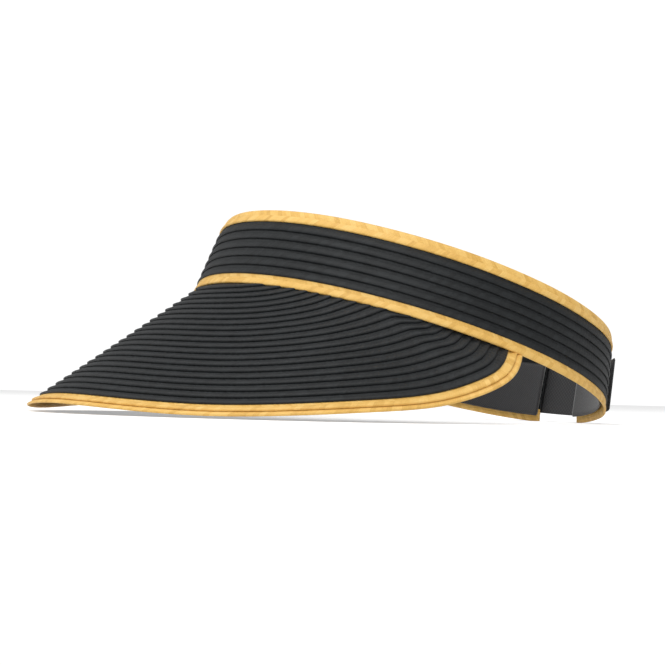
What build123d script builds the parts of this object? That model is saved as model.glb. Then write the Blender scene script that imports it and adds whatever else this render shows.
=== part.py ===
from build123d import *
import math
import os

# A straw sun visor: an oval head band and a deep brim, both made of flat plaited
# braid sewn in overlapping rows, closed at the back by a hook-and-loop strap.
#
# Units are millimetres and degrees. +Z is up, -Y is forward (the front of the brim)
# and +X is the wearer's left. The origin is the centre of the head opening, in the
# plane of the band's lower rim. The visor stands as it does on a table, on the
# brim's outer edge and on the back of the band, so the band leans back.

# ---- driving dimensions ----

# Braid: one flat plait, sewn in rows that overlap like roof shingles
braid_width = 6.0
braid_thickness = 1.0
row_clearance = 0.08          # air left between a row and the one it lies on
row_pitch = 4.12              # from the lower edge of one row to the next

# Head band: an oval that narrows upwards
band_half_length = 98.0
band_half_width = 90.0
band_length_taper = 0.114     # half length lost for each mm of height
band_width_taper = 0.181      # half width lost for each mm of height
band_lean = 16.9              # how far the band's axis leans back from upright
bottom_row_show = 3.8         # height of the natural bottom row below the black rows
black_band_rows = 6
back_gap = 28.0               # between the two ends of the straw at the back

# Brim: a sloping surface from its outer edge up to the band's lower rim
brim_front = (0.0, -172.0, -25.6)
brim_side_points = [(78.2, -140.3, -28.6), (106.7, -86.6, -25.6), (104.6, -33.7, -18.4), (103.6, -18.1, -12.2)]
corner_angle = 89.9           # round the rim from the front, where the edge meets it
ruling_rate = 56.8            # rim angle reached by the rulings at an even pace
ruling_end = 66.2             # rim angle of the ruling that starts at the corner
ruling_power = 6              # how late the rulings fan out
black_brim_rows = 21
natural_edge_show = 6.7       # width of the natural edging outside the black rows
seam_drop = 1.2               # the brim meets the band this far below the lower rim
brim_stations = 14            # sections on each side of the middle of a brim row
end_margin = 3.0              # a row starts to turn in this close to the band
tuck_run = 9.0                # how far it then runs in under the band before trimming

# Sweatband and closure
sweatband_low = 1.5
sweatband_high = 27.0
sweatband_thickness = 1.2
soft_clearance = 0.3
strap_height = 25.0
strap_middle = 16.5           # height of the strap's centre line on the band
strap_thickness = 1.0
anchor_angle = 207.0          # round the band from the front, through the wearer's left
hinge_angle = 188.5
tab_end_angle = 153.0
hinge_slit = 0.4              # between the sewn end of the strap and its free part
patch_height = 21.0
patch_thickness = 0.9
patch_far_angle = 169.5
patch_near_angle = 155.0
strap_stations = 6

# ---- worked out from them ----

lap_rise = braid_thickness + row_clearance
row_fall = lap_rise / row_pitch
face_offset = lap_rise + braid_thickness
top_row_low = bottom_row_show + black_band_rows * row_pitch
band_height = top_row_low + braid_width
edge_step = natural_edge_show - row_pitch
lean = math.radians(band_lean)
band_plane = Plane(origin=(0, 0, 0), x_dir=(1, 0, 0), z_dir=(0, math.sin(lean), math.cos(lean)))

os.makedirs("parts", exist_ok=True)


def band_oval(height, offset):
    """Half width and half length of the band at a height, moved out by an offset."""
    rise = max(height, 0.0)
    half_width = band_half_width - band_width_taper * rise + offset
    half_length = band_half_length - band_length_taper * rise + offset
    return half_width, half_length


def band_point(angle, height, offset):
    """A point round the band, its angle counted from the front towards the wearer's left."""
    half_width, half_length = band_oval(height, offset)
    turn = math.radians(angle)
    return band_plane.from_local_coords(
        Vector(half_width * math.sin(turn), -half_length * math.cos(turn), height)
    )


def write(part, name):
    """Label a finished piece and write it to its own file."""
    part.label = name
    export_step(part, f"parts/{name}.step")


# ---- head band ----


def ring(low, high, inner_low, inner_high, thickness):
    """An oval wall between two heights, open at the back by the gap in the straw."""
    with BuildPart() as wall:
        for height, inner in ((low, inner_low), (high, inner_high)):
            with BuildSketch(band_plane.offset(height)):
                Ellipse(*band_oval(height, inner + thickness))
        loft(ruled=True)
        for height, inner in ((low, inner_low), (high, inner_high)):
            with BuildSketch(band_plane.offset(height)):
                Ellipse(*band_oval(height, inner))
        loft(ruled=True, mode=Mode.SUBTRACT)
        with BuildSketch(band_plane.offset(low)):
            with Locations((0, band_half_length)):
                Rectangle(back_gap, band_half_length)
        extrude(amount=high - low, mode=Mode.SUBTRACT)
    return wall.part


def band_row(low, rise=lap_rise):
    """One row of braid on the band, its lower edge lying over the row below."""
    return ring(low, low + braid_width, rise, rise - row_fall * braid_width, braid_thickness)


write(band_row(0.0, rise=bottom_row_show * row_fall), "band_bottom_row")
for number in range(black_band_rows):
    write(band_row(bottom_row_show + number * row_pitch), f"band_row_{number + 1:02d}")
write(band_row(top_row_low), "band_top_row")

sweatband_inset = row_fall * braid_width - lap_rise + soft_clearance + sweatband_thickness
write(
    ring(sweatband_low, sweatband_high, -sweatband_inset, -sweatband_inset, sweatband_thickness),
    "sweatband",
)

# ---- brim ----

side_points = [Vector(*point) for point in brim_side_points] + [band_point(corner_angle, -seam_drop, 0)]
mirrored_points = [Vector(-point.X, point.Y, point.Z) for point in reversed(side_points)]
with BuildLine() as brim_outline:
    Spline(*mirrored_points, Vector(*brim_front), *side_points)
outline = brim_outline.edges()[0]


def brim_ruling(share):
    """Where a ruling starts on the brim's edge, the edge's heading, its run to the rim and its depth.

    The share runs from -1 at one corner through 0 at the front to 1 at the other. The
    depth is measured square to the edge.
    """
    start = outline.position_at((1 + share) / 2)
    tangent = outline.tangent_at((1 + share) / 2)
    angle = ruling_rate * abs(share) + (ruling_end - ruling_rate) * abs(share) ** ruling_power
    run = band_point(math.copysign(angle, share), -seam_drop, 0) - start
    depth = (run - tangent * run.dot(tangent)).length
    return start, tangent, run, depth


def braid_section(share, outer, rise, shift=Vector(0, 0, 0)):
    """The cross-section of a braid whose outer edge lies at a distance from the brim's edge."""
    start, tangent, run, depth = brim_ruling(share)
    skew = run.length / depth
    fall = row_fall * braid_width
    normal = tangent.cross(run)
    section_plane = Plane(origin=start + run * (outer / depth) + shift, x_dir=run, z_dir=run.cross(normal))
    corners = [
        (0, rise),
        (braid_width * skew, rise - fall),
        (braid_width * skew, rise - fall + braid_thickness),
        (0, rise + braid_thickness),
    ]
    with BuildSketch(section_plane) as section:
        Polygon(*corners, align=None)
    return section.sketch.faces()[0]


def tuck_shift(share, outer):
    """The way a row's end moves to pass in under the band: on past a corner, or else inwards."""
    start, tangent, run, depth = brim_ruling(share)
    if depth > outer + braid_width:
        return tangent * math.copysign(tuck_run, share)
    end = band_plane.to_local_coords(start + run * (outer / depth))
    axis_point = band_plane.from_local_coords(Vector(0, 0, end.Z))
    return (axis_point - band_plane.from_local_coords(end)).normalized() * tuck_run


# The room that the band takes up, which the brim's rows are cut back from
with BuildPart() as band_space:
    with BuildSketch(band_plane.offset(-row_clearance)):
        Ellipse(*band_oval(0, 0))
    extrude(amount=-band_height * 2)
    for height in (-row_clearance, band_height * 1.5):
        with BuildSketch(band_plane.offset(height)):
            Ellipse(*band_oval(height, face_offset + row_clearance))
    loft(ruled=True)


def brim_row(outer, rise=lap_rise):
    """One row of braid on the brim, trimmed where it runs in under the band."""
    shares = [step / brim_stations for step in range(brim_stations + 1)]
    kept = [share for share in shares if brim_ruling(share)[3] > outer + end_margin]
    last = shares[min(len(kept), brim_stations)]
    half = [braid_section(share, outer, rise) for share in kept]
    half.append(braid_section(last, outer, rise, tuck_shift(last, outer)))
    other_half = [face.mirror(Plane.YZ) for face in reversed(half[1:])]
    with BuildPart() as row:
        loft(sections=other_half + half)
        add(band_space.part, mode=Mode.SUBTRACT)
    return row.part.solids().sort_by(SortBy.VOLUME)[-1]


write(brim_row(0.0, rise=edge_step * row_fall), "brim_edge_under_row")
write(brim_row(edge_step), "brim_edge_row")
for number in range(black_brim_rows):
    write(brim_row(natural_edge_show + number * row_pitch), f"brim_row_{number + 1:02d}")

# ---- closure: a strap sewn to one end of the straw, which presses onto the other ----

strap_seat = face_offset + soft_clearance
hook_seat = strap_seat + patch_thickness + soft_clearance
tab_seat = hook_seat + patch_thickness + row_clearance


def tab_offset(angle):
    """How far the free strap stands off the band: it rises across the gap in the straw."""
    share = (hinge_angle - angle) / (hinge_angle - patch_far_angle)
    return strap_seat + (tab_seat - strap_seat) * min(1.0, max(0.0, share))


def strip(start_angle, end_angle, height, thickness, offset_at):
    """A strip round the outside of the band between two angles, at a changing offset."""
    sections = []
    for step in range(strap_stations + 1):
        angle = start_angle + (end_angle - start_angle) * step / strap_stations
        middle = band_point(angle, strap_middle, offset_at(angle))
        upward = band_point(angle, strap_middle + 1, offset_at(angle)) - middle
        ahead = band_point(angle + 1, strap_middle, offset_at(angle)) - middle
        with BuildSketch(Plane(origin=middle, x_dir=ahead.cross(upward), z_dir=ahead)) as section:
            Rectangle(thickness, height, align=(Align.MIN, Align.CENTER))
        sections.append(section.sketch.faces()[0])
    with BuildPart() as band_strip:
        loft(sections=sections)
    return band_strip.part


slit_angle = math.degrees(hinge_slit / band_half_length)
write(strip(anchor_angle, hinge_angle, strap_height, strap_thickness, lambda angle: strap_seat), "strap_anchor")
write(strip(hinge_angle - slit_angle, tab_end_angle, strap_height, strap_thickness, tab_offset), "strap_tab")
write(
    strip(patch_far_angle, patch_near_angle, patch_height, patch_thickness, lambda angle: strap_seat),
    "loop_patch",
)
write(
    strip(patch_far_angle, patch_near_angle, patch_height, patch_thickness, lambda angle: hook_seat),
    "hook_patch",
)
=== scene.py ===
import math

import bpy
import numpy as np
from mathutils import Matrix, Vector


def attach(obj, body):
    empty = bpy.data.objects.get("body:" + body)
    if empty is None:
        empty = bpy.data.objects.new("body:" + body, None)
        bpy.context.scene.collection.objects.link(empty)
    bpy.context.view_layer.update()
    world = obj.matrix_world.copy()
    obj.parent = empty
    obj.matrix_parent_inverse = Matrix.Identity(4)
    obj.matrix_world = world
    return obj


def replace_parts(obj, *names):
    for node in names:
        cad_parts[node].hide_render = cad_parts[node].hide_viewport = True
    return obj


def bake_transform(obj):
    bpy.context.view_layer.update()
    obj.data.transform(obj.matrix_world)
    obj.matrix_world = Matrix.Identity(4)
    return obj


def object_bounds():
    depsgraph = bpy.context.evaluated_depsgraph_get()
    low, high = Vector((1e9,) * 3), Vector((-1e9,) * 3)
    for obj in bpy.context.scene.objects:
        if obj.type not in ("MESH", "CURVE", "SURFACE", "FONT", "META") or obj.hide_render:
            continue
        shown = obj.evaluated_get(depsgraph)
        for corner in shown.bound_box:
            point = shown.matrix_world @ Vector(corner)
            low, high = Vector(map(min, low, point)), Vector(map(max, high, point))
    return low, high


# The looks of a straw sun visor. Every row of braid is its own plaited strip, laid
# where the CAD model has its plain strip. Sizes are in millimetres and degrees, and
# become metres when a mesh is made.

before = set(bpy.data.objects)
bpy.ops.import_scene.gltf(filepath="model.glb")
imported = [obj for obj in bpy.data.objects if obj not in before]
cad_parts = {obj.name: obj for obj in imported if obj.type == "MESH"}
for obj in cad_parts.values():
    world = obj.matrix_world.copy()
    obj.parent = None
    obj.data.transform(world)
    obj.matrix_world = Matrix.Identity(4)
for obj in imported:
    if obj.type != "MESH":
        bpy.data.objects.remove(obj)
cad_low, cad_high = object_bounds()
rng = np.random.default_rng(7)

MM = 0.001

# ---- sizes shared with the CAD model ----

BRAID_WIDTH = 6.0
BRAID_THICKNESS = 1.0
ROW_CLEARANCE = 0.08    # air left between a row and the one it lies on
LAP_RISE = BRAID_THICKNESS + ROW_CLEARANCE
ROW_PITCH = 4.12
ROW_FALL = LAP_RISE / ROW_PITCH
HALF_LENGTH = 98.0
HALF_WIDTH = 90.0
LENGTH_TAPER = 0.114
WIDTH_TAPER = 0.181
LEAN = math.radians(16.9)
BOTTOM_ROW_SHOW = 3.8
BAND_ROWS = 6
BACK_GAP = 28.0
BRIM_FRONT = (0.0, -172.0, -25.6)
BRIM_SIDE = [
    (78.2, -140.3, -28.6),
    (106.7, -86.6, -25.6),
    (104.6, -33.7, -18.4),
    (103.6, -18.1, -12.2),
]
CORNER_ANGLE = 89.9
RULING_RATE = 56.8
RULING_END = 66.2
RULING_POWER = 6
BRIM_ROWS = 21
EDGE_SHOW = 6.7
SEAM_DROP = 1.2
SOFT_CLEARANCE = 0.3
SWEATBAND_LOW = 1.5
SWEATBAND_HIGH = 27.0
SWEATBAND_THICKNESS = 1.2
STRAP_MIDDLE = 16.5
STRAP_HEIGHT = 25.0
STRAP_THICKNESS = 1.0
STRAP_FAR_ANGLE = 207.0
HINGE_ANGLE = 188.5
STRAP_END_ANGLE = 153.0
PATCH_HEIGHT = 21.0
PATCH_THICKNESS = 0.9
PATCH_ANGLES = (169.5, 155.0)

# ---- plait ----

STRAND_STEP = 2.4      # along the braid, from one strand to the next
STRAND_SLANT = 2.2     # how far a strand runs on from the braid's middle to its edge
RIDGE_RISE = 0.22      # each half of the braid stands this much above its edges
STRAND_RISE = 0.16
ALONG_STEP = 0.6
WOBBLE = 0.12          # how far a row strays from its line
WOBBLE_LENGTHS = (9.0, 23.0, 51.0)
EDGE_ROUND = 0.08      # share of the width over which an edge thins
UV_UNIT = 10.0         # the UV map counts in centimetres

# ---- where the looks leave the CAD model, to close the slit between brim and band ----

BOTTOM_ROW_LOWERED = 0.8
SEAM_OVERRUN = 3.0     # the brim's rows run this far past the seam
ROW_END_MARGIN = 0.6   # a row ends where less than this is left before the seam

TOP_SHARES = np.array([0.0, 0.06, 0.15, 0.25, 0.36, 0.46, 0.5, 0.54, 0.64, 0.75, 0.85, 0.94, 1.0])
LOW_SHARES = np.array([0.97, 0.75, 0.5, 0.25, 0.03])


def band_points(angle, height, offset):
    """Points round the band, their angles counted from the front towards the wearer's left."""
    rise = np.maximum(height, 0.0)
    turn = np.radians(angle)
    x = (HALF_WIDTH - WIDTH_TAPER * rise + offset) * np.sin(turn)
    y = -(HALF_LENGTH - LENGTH_TAPER * rise + offset) * np.cos(turn)
    height = height + 0.0 * turn
    ahead = y * math.cos(LEAN) + height * math.sin(LEAN)
    up = height * math.cos(LEAN) - y * math.sin(LEAN)
    return np.stack([x, ahead, up], axis=-1)


def unit(vectors):
    return vectors / np.linalg.norm(vectors, axis=-1, keepdims=True)


def lengths_along(points):
    steps = np.linalg.norm(np.diff(points, axis=0), axis=1)
    return np.concatenate([[0.0], np.cumsum(steps)])


def smooth_curve(knots, count=6000):
    """A smooth curve through the knots, sampled finely: a natural cubic spline."""
    knots = np.array(knots, float)
    t = lengths_along(knots)
    gap = np.diff(t)
    size = len(knots)
    matrix = np.eye(size)
    right = np.zeros_like(knots)
    for i in range(1, size - 1):
        matrix[i, i - 1 : i + 2] = gap[i - 1], 2 * (gap[i - 1] + gap[i]), gap[i]
        right[i] = 6 * ((knots[i + 1] - knots[i]) / gap[i] - (knots[i] - knots[i - 1]) / gap[i - 1])
    bend = np.linalg.solve(matrix, right)
    where = np.linspace(0, t[-1], count)
    i = np.clip(np.searchsorted(t, where, side="right") - 1, 0, size - 2)
    a = ((t[i + 1] - where) / gap[i])[:, None]
    b = 1 - a
    h = gap[i][:, None]
    curve = a * knots[i] + b * knots[i + 1]
    return curve + ((a**3 - a) * bend[i] + (b**3 - b) * bend[i + 1]) * h * h / 6


def strip_mesh(name, rings, along, across):
    """A closed mesh through rings of points, with a UV map of distance along and across in cm."""
    stations, corners = rings.shape[:2]
    vertices = rings.reshape(-1, 3) * MM
    i = np.arange(stations - 1)[:, None]
    j = np.arange(corners)[None, :]
    after = (j + 1) % corners
    here = i * corners
    ahead = (i + 1) * corners
    quads = np.stack([here + j, here + after, ahead + after, ahead + j], axis=-1).reshape(-1, 4)
    faces = quads.tolist()
    faces.append(list(range(corners))[::-1])
    faces.append([(stations - 1) * corners + k for k in range(corners)])
    mesh = bpy.data.meshes.new(name)
    mesh.from_pydata(vertices.tolist(), [], faces)
    uv = np.stack([np.repeat(along, corners), np.tile(across, stations)], axis=-1) / UV_UNIT
    layer = mesh.uv_layers.new(name="braid")
    loops = np.empty(len(mesh.loops), dtype=np.int32)
    mesh.loops.foreach_get("vertex_index", loops)
    layer.data.foreach_set("uv", uv[loops].astype(np.float32).ravel())
    mesh.polygons.foreach_set("use_smooth", [True] * len(mesh.polygons))
    mesh.update()
    piece = bpy.data.objects.new(name, mesh)
    bpy.context.collection.objects.link(piece)
    return piece


def braid(name, foot, inward, normal, rise, material, limit=None):
    """One row of plaited braid.

    foot is where its outer or lower edge lies, inward the run per millimetre across
    and normal the way it faces, each given at every station. limit is how far across
    each station may reach before the seam.
    """
    along = lengths_along(foot)
    across_top = TOP_SHARES * BRAID_WIDTH
    across_low = LOW_SHARES * BRAID_WIDTH
    wave = rng.uniform(0, 6.28, 3)
    wobble = sum(np.sin(along / reach + turn) for reach, turn in zip(WOBBLE_LENGTHS, wave))
    wobble = wobble * WOBBLE / 2
    phase = rng.uniform(0, STRAND_STEP)

    u = TOP_SHARES[None, :]
    from_middle = np.abs(2 * u - 1)
    ridge = np.abs(np.sin(2 * np.pi * u)) ** 0.6
    strand_place = (along[:, None] + phase + STRAND_SLANT * from_middle) / STRAND_STEP
    strand = np.abs(np.sin(np.pi * strand_place)) ** 0.5
    edge = np.clip(np.minimum(u, 1 - u) / EDGE_ROUND, 0, 1) ** 0.5
    top = BRAID_THICKNESS * (0.25 + 0.5 * edge)
    top = top + RIDGE_RISE * ridge + STRAND_RISE * strand * edge
    low = np.full((len(along), len(across_low)), 0.0)
    heights = np.concatenate([top, low], axis=1)
    across = np.concatenate([across_top, across_low])

    reach = np.tile(across[None, :], (len(along), 1)) + wobble[:, None] * 0.5
    if limit is not None:
        reach = np.minimum(reach, limit[:, None])
    lift = rise - ROW_FALL * reach + heights
    rings = foot[:, None, :] + inward[:, None, :] * reach[..., None]
    rings = rings + normal[:, None, :] * lift[..., None]
    piece = strip_mesh(name, rings, along, across)
    piece.data.materials.append(material)
    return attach(piece, "visor")


# ---- materials ----


def new_material(name):
    material = bpy.data.materials.new(name)
    material.use_nodes = True
    nodes = material.node_tree.nodes
    shader = nodes["Principled BSDF"]
    return material, nodes, material.node_tree.links, shader


def math_node(nodes, links, operation, first, second=None, third=None):
    node = nodes.new("ShaderNodeMath")
    node.operation = operation
    for socket, value in zip(node.inputs, (first, second, third)):
        if value is None:
            continue
        if isinstance(value, (int, float)):
            socket.default_value = value
        else:
            links.new(value, socket)
    return node.outputs[0]


def straw_material(name, dark, middle, light, roughness, coat):
    """Flat plaited straw: a colour for each strand, fibre streaks and darker dips."""
    material, nodes, links, shader = new_material(name)
    uv = nodes.new("ShaderNodeUVMap")
    uv.uv_map = "braid"
    split = nodes.new("ShaderNodeSeparateXYZ")
    links.new(uv.outputs[0], split.inputs[0])
    along = math_node(nodes, links, "MULTIPLY", split.outputs[0], UV_UNIT)
    share = math_node(nodes, links, "MULTIPLY", split.outputs[1], UV_UNIT / BRAID_WIDTH)
    centred = math_node(nodes, links, "MULTIPLY_ADD", share, 2.0, -1.0)
    from_middle = math_node(nodes, links, "ABSOLUTE", centred)
    slanted = math_node(nodes, links, "MULTIPLY_ADD", from_middle, STRAND_SLANT, along)
    turns = math_node(nodes, links, "DIVIDE", slanted, STRAND_STEP)
    strand = math_node(nodes, links, "FLOOR", turns)
    side = math_node(nodes, links, "SIGN", centred)

    info = nodes.new("ShaderNodeObjectInfo")
    key = nodes.new("ShaderNodeCombineXYZ")
    links.new(strand, key.inputs[0])
    links.new(side, key.inputs[1])
    links.new(info.outputs["Random"], key.inputs[2])
    pick = nodes.new("ShaderNodeTexWhiteNoise")
    links.new(key.outputs[0], pick.inputs["Vector"])

    stretch = nodes.new("ShaderNodeCombineXYZ")
    links.new(math_node(nodes, links, "MULTIPLY", slanted, 5.0), stretch.inputs[0])
    links.new(math_node(nodes, links, "MULTIPLY", share, 1.5), stretch.inputs[1])
    links.new(info.outputs["Random"], stretch.inputs[2])
    fibre = nodes.new("ShaderNodeTexNoise")
    fibre.inputs["Scale"].default_value = 1.6
    fibre.inputs["Detail"].default_value = 4.0
    links.new(stretch.outputs[0], fibre.inputs["Vector"])

    mixed = math_node(nodes, links, "MULTIPLY_ADD", pick.outputs["Value"], 0.25, 0.1)
    shade = math_node(nodes, links, "MULTIPLY_ADD", fibre.outputs[0], 0.6, mixed)
    ramp = nodes.new("ShaderNodeValToRGB")
    ramp.color_ramp.elements[0].position = 0.2
    ramp.color_ramp.elements[0].color = (*dark, 1)
    ramp.color_ramp.elements[1].position = 0.85
    ramp.color_ramp.elements[1].color = (*light, 1)
    centre = ramp.color_ramp.elements.new(0.5)
    centre.color = (*middle, 1)
    links.new(shade, ramp.inputs[0])
    links.new(ramp.outputs[0], shader.inputs["Base Color"])

    rough = math_node(nodes, links, "MULTIPLY_ADD", fibre.outputs[0], 0.25, roughness - 0.12)
    links.new(rough, shader.inputs["Roughness"])
    shader.inputs["Specular IOR Level"].default_value = coat
    bump = nodes.new("ShaderNodeBump")
    bump.inputs["Strength"].default_value = 0.35
    bump.inputs["Distance"].default_value = 0.0002
    links.new(fibre.outputs[0], bump.inputs["Height"])
    links.new(bump.outputs[0], shader.inputs["Normal"])
    return material


def cloth_material(name, dark, light, thread, roughness, sheen):
    """Woven cloth or pile: crossing threads thread mm apart, with uneven shade."""
    material, nodes, links, shader = new_material(name)
    uv = nodes.new("ShaderNodeUVMap")
    uv.uv_map = "braid"
    split = nodes.new("ShaderNodeSeparateXYZ")
    links.new(uv.outputs[0], split.inputs[0])
    turns = UV_UNIT * math.pi / thread
    along = math_node(nodes, links, "MULTIPLY", split.outputs[0], turns)
    across = math_node(nodes, links, "MULTIPLY", split.outputs[1], turns)
    over = math_node(nodes, links, "SINE", along)
    under = math_node(nodes, links, "SINE", across)
    crossed = math_node(nodes, links, "MULTIPLY", over, under)
    weave = math_node(nodes, links, "MULTIPLY_ADD", crossed, 0.5, 0.5)
    grain = nodes.new("ShaderNodeTexNoise")
    grain.inputs["Scale"].default_value = 14.0
    grain.inputs["Detail"].default_value = 6.0
    links.new(uv.outputs[0], grain.inputs["Vector"])
    uneven = math_node(nodes, links, "MULTIPLY", grain.outputs[0], 0.5)
    shade = math_node(nodes, links, "MULTIPLY_ADD", weave, 0.5, uneven)
    ramp = nodes.new("ShaderNodeValToRGB")
    ramp.color_ramp.elements[0].position = 0.25
    ramp.color_ramp.elements[0].color = (*dark, 1)
    ramp.color_ramp.elements[1].position = 0.8
    ramp.color_ramp.elements[1].color = (*light, 1)
    links.new(shade, ramp.inputs[0])
    links.new(ramp.outputs[0], shader.inputs["Base Color"])
    rough = math_node(nodes, links, "MULTIPLY_ADD", grain.outputs[0], 0.2, roughness - 0.1)
    links.new(rough, shader.inputs["Roughness"])
    shader.inputs["Sheen Weight"].default_value = sheen
    bump = nodes.new("ShaderNodeBump")
    bump.inputs["Strength"].default_value = 0.6
    bump.inputs["Distance"].default_value = 0.0003
    links.new(shade, bump.inputs["Height"])
    links.new(bump.outputs[0], shader.inputs["Normal"])
    return material


natural = straw_material(
    "natural_straw", (0.50, 0.26, 0.045), (0.77, 0.46, 0.11), (0.90, 0.62, 0.22), 0.5, 0.4
)
black = straw_material(
    "black_straw", (0.005, 0.0056, 0.006), (0.010, 0.0115, 0.0125), (0.020, 0.023, 0.025), 0.55, 0.3
)
cotton = cloth_material(
    "sweatband_cloth", (0.012, 0.012, 0.013), (0.045, 0.045, 0.048), 0.6, 0.9, 0.3
)
webbing = cloth_material(
    "strap_webbing", (0.010, 0.010, 0.011), (0.040, 0.040, 0.043), 0.9, 0.8, 0.2
)
pile = cloth_material("loop_tape", (0.012, 0.012, 0.013), (0.060, 0.060, 0.064), 0.45, 0.95, 0.5)
hooks = cloth_material("hook_tape", (0.008, 0.008, 0.009), (0.035, 0.035, 0.037), 1.3, 0.45, 0.0)

# ---- band rows ----

end_angle = 180 - math.degrees(math.asin(BACK_GAP / 2 / HALF_WIDTH))
fine_angles = np.linspace(-end_angle, end_angle, 4000)
fine_reach = lengths_along(band_points(fine_angles, 0.0, 0.0))
band_angles = np.interp(np.arange(0, fine_reach[-1], ALONG_STEP), fine_reach, fine_angles)
band_turns = np.radians(band_angles)
flat = np.stack([np.sin(band_turns), -np.cos(band_turns), 0 * band_turns], axis=-1)
band_normal = unit(
    np.stack([flat[:, 0], flat[:, 1] * math.cos(LEAN), -flat[:, 1] * math.sin(LEAN)], axis=-1)
)


def band_row(node, low, rise, material):
    foot = band_points(band_angles, low, 0.0)
    inward = band_points(band_angles, low + 1.0, 0.0) - foot
    piece = braid(node + "_straw", foot, inward, band_normal, rise, material)
    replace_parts(piece, node)


band_row(
    "band_bottom_row", -BOTTOM_ROW_LOWERED, BOTTOM_ROW_SHOW * ROW_FALL, natural
)
for number in range(BAND_ROWS):
    low = BOTTOM_ROW_SHOW + number * ROW_PITCH
    band_row(f"band_row_{number + 1:02d}", low, LAP_RISE, black)
top_row_low = BOTTOM_ROW_SHOW + BAND_ROWS * ROW_PITCH
band_row("band_top_row", top_row_low, LAP_RISE, natural)

# ---- brim rows ----

corner = band_points(np.array([CORNER_ANGLE]), -SEAM_DROP, 0.0)[0]
left_side = [np.array(point) for point in BRIM_SIDE] + [corner]
right_side = [point * np.array([-1, 1, 1]) for point in reversed(left_side)]
outline = smooth_curve(right_side + [np.array(BRIM_FRONT)] + left_side)
reached = lengths_along(outline)
stations = np.linspace(0, reached[-1], int(reached[-1] / ALONG_STEP))
edge = np.stack([np.interp(stations, reached, outline[:, k]) for k in range(3)], axis=-1)
heading = unit(np.gradient(edge, axis=0))
shares = 2 * stations / reached[-1] - 1
far = np.abs(shares)
fan = (RULING_END - RULING_RATE) * far**RULING_POWER
rim_angle = np.sign(shares) * (RULING_RATE * far + fan)
run = band_points(rim_angle, -SEAM_DROP, 0.0) - edge
square = run - heading * np.sum(run * heading, axis=-1, keepdims=True)
depth = np.linalg.norm(square, axis=-1)
brim_normal = unit(np.cross(heading, run))
per_mm = run / depth[:, None]


def brim_row(node, outer, rise, material):
    kept = depth > outer + ROW_END_MARGIN
    foot = edge[kept] + per_mm[kept] * outer
    limit = depth[kept] - outer + SEAM_OVERRUN
    piece = braid(
        node + "_straw", foot, per_mm[kept], brim_normal[kept], rise, material, limit
    )
    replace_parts(piece, node)


edge_step = EDGE_SHOW - ROW_PITCH
brim_row("brim_edge_under_row", 0.0, edge_step * ROW_FALL, natural)
brim_row("brim_edge_row", edge_step, LAP_RISE, natural)
for number in range(BRIM_ROWS):
    outer = EDGE_SHOW + number * ROW_PITCH
    brim_row(f"brim_row_{number + 1:02d}", outer, LAP_RISE, black)

# ---- cloth pieces ----

SECTION_TURNS = 28


def wall_strip(
    name, angles, middle, height, offset_at, thickness, step, material, nubs=0.0
):
    """A soft strip round the band, rounded at its edges, with an optional nubbly face."""
    fine = np.linspace(angles[0], angles[1], 2000)
    reach = lengths_along(band_points(fine, middle, 0.0))
    turn = np.interp(np.linspace(0, reach[-1], int(reach[-1] / step)), reach, fine)
    share = np.linspace(-0.5, 0.5, SECTION_TURNS)
    edge_round = np.clip((0.5 - np.abs(share)) / 0.04, 0.0, 1.0) ** 0.5
    outer = np.concatenate([share, share[::-1]])
    depth_share = np.concatenate([0.5 + 0.5 * edge_round, 0.5 - 0.5 * edge_round[::-1]])
    across = (outer + 0.5) * height
    offset = np.array([offset_at(angle) for angle in turn])[:, None]
    offset = offset + depth_share[None, :] * thickness
    if nubs:
        face = np.sign(depth_share - 0.5)[None, :]
        offset = offset + nubs * rng.uniform(0, 1, offset.shape) * face
    level = middle + outer * height
    rings = band_points(turn[:, None], np.tile(level, (len(turn), 1)), offset)
    piece = strip_mesh(name, rings, np.linspace(0, reach[-1], len(turn)), across)
    piece.data.materials.append(material)
    return piece


inset = ROW_FALL * BRAID_WIDTH - LAP_RISE + SOFT_CLEARANCE + SWEATBAND_THICKNESS
sweatband = wall_strip(
    "sweatband_cloth",
    (-end_angle, end_angle),
    (SWEATBAND_LOW + SWEATBAND_HIGH) / 2,
    SWEATBAND_HIGH - SWEATBAND_LOW,
    lambda angle: -inset,
    SWEATBAND_THICKNESS,
    1.0,
    cotton,
)
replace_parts(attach(sweatband, "visor"), "sweatband")

strap_seat = LAP_RISE + BRAID_THICKNESS + SOFT_CLEARANCE
hook_seat = strap_seat + PATCH_THICKNESS + SOFT_CLEARANCE
tab_seat = hook_seat + PATCH_THICKNESS + ROW_CLEARANCE


def strap_offset(angle):
    share = (HINGE_ANGLE - angle) / (HINGE_ANGLE - PATCH_ANGLES[0])
    share = min(1.0, max(0.0, share))
    return strap_seat + (tab_seat - strap_seat) * share * share * (3 - 2 * share)


strap = wall_strip(
    "closure_strap",
    (STRAP_FAR_ANGLE, STRAP_END_ANGLE),
    STRAP_MIDDLE,
    STRAP_HEIGHT,
    strap_offset,
    STRAP_THICKNESS,
    0.8,
    webbing,
)
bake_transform(strap)
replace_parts(strap, "strap_anchor", "strap_tab")

loop_patch = wall_strip(
    "loop_patch_pile",
    PATCH_ANGLES,
    STRAP_MIDDLE,
    PATCH_HEIGHT,
    lambda angle: strap_seat,
    0.8,
    0.4,
    pile,
    0.15,
)
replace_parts(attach(loop_patch, "visor"), "loop_patch")
hook_patch = wall_strip(
    "hook_patch_hooks",
    PATCH_ANGLES,
    STRAP_MIDDLE,
    PATCH_HEIGHT,
    lambda angle: hook_seat + 0.1,
    0.75,
    0.4,
    hooks,
    0.1,
)
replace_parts(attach(hook_patch, "closure_tab"), "hook_patch")

# ---- floor, light and camera ----

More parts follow.
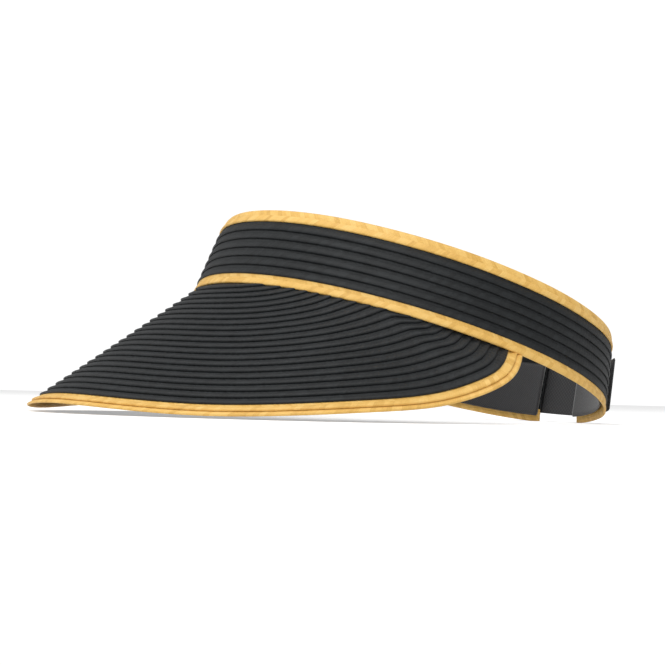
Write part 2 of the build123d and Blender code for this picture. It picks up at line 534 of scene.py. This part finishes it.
floor_level = cad_low.z - 0.0003
bpy.ops.mesh.primitive_plane_add(size=6.0, location=(0, 0, floor_level))
floor = bpy.context.object
floor.name = "floor"
paper, nodes, links, shader = new_material("floor_paper")
grain = nodes.new("ShaderNodeTexNoise")
grain.inputs["Scale"].default_value = 40.0
tint = nodes.new("ShaderNodeValToRGB")
tint.color_ramp.elements[0].color = (0.86, 0.86, 0.86, 1)
tint.color_ramp.elements[1].color = (0.90, 0.90, 0.90, 1)
links.new(grain.outputs[0], tint.inputs[0])
links.new(tint.outputs[0], shader.inputs["Base Color"])
shader.inputs["Roughness"].default_value = 0.8
shader.inputs["Emission Color"].default_value = (1.0, 1.0, 1.0, 1)
seen_floor = nodes.new("ShaderNodeLightPath")
glow = math_node(nodes, links, "MULTIPLY", seen_floor.outputs["Is Camera Ray"], 0.35)
links.new(glow, shader.inputs["Emission Strength"])
floor.data.materials.append(paper)


def soft_light(name, place, size, power):
    data = bpy.data.lights.new(name, "AREA")
    data.size = size
    data.energy = power
    light = bpy.data.objects.new(name, data)
    light.location = place
    light.rotation_euler = (-Vector(place)).to_track_quat("-Z", "Y").to_euler()
    bpy.context.collection.objects.link(light)


soft_light("over", (0.1, -0.2, 1.3), 1.4, 11.0)
soft_light("front_left", (1.1, -0.9, 0.8), 1.0, 8.0)
soft_light("front_right", (-0.9, -1.0, 0.6), 1.0, 3.5)

WHITE = 1.05
SKY_LIGHT = 0.5
world = bpy.data.worlds.new("studio")
bpy.context.scene.world = world
world.use_nodes = True
world.node_tree.nodes["Background"].inputs[0].default_value = (1.0, 1.0, 1.0, 1)
sky = world.node_tree.nodes["Background"]
sky_links = world.node_tree.links
seen = world.node_tree.nodes.new("ShaderNodeLightPath")
sky_nodes = world.node_tree.nodes
straight = seen.outputs["Is Camera Ray"]
strength = math_node(sky_nodes, sky_links, "MULTIPLY_ADD", straight, WHITE - SKY_LIGHT, SKY_LIGHT)
sky_links.new(strength, sky.inputs[1])

CAMERA_AZIMUTH = math.radians(57.2)
CAMERA_ELEVATION = math.radians(-1.8)
CAMERA_ROLL = math.radians(1.5)
CAMERA_DISTANCE = 0.882
CAMERA_SIDEWAYS = -0.0309
CAMERA_RAISED = 0.0382
CAMERA_LOWERED = 0.0285
away = Vector((
    math.sin(CAMERA_AZIMUTH) * math.cos(CAMERA_ELEVATION),
    -math.cos(CAMERA_AZIMUTH) * math.cos(CAMERA_ELEVATION),
    math.sin(CAMERA_ELEVATION),
))
level = Vector((math.cos(CAMERA_AZIMUTH), math.sin(CAMERA_AZIMUTH), 0))
upward = away.cross(level)
to_right = level * math.cos(CAMERA_ROLL) + upward * math.sin(CAMERA_ROLL)
to_top = upward * math.cos(CAMERA_ROLL) - level * math.sin(CAMERA_ROLL)
place = away * CAMERA_DISTANCE + level * CAMERA_SIDEWAYS + upward * CAMERA_RAISED
place.z -= CAMERA_LOWERED
lens = bpy.data.cameras.new("camera")
lens.lens = 104.6
lens.sensor_width = 36.0
camera = bpy.data.objects.new("camera", lens)
camera.matrix_world = Matrix.Translation(place) @ Matrix((to_right, to_top, away)).transposed().to_4x4()
bpy.context.collection.objects.link(camera)
bpy.context.scene.camera = camera
bpy.context.scene.view_settings.view_transform = "Standard"
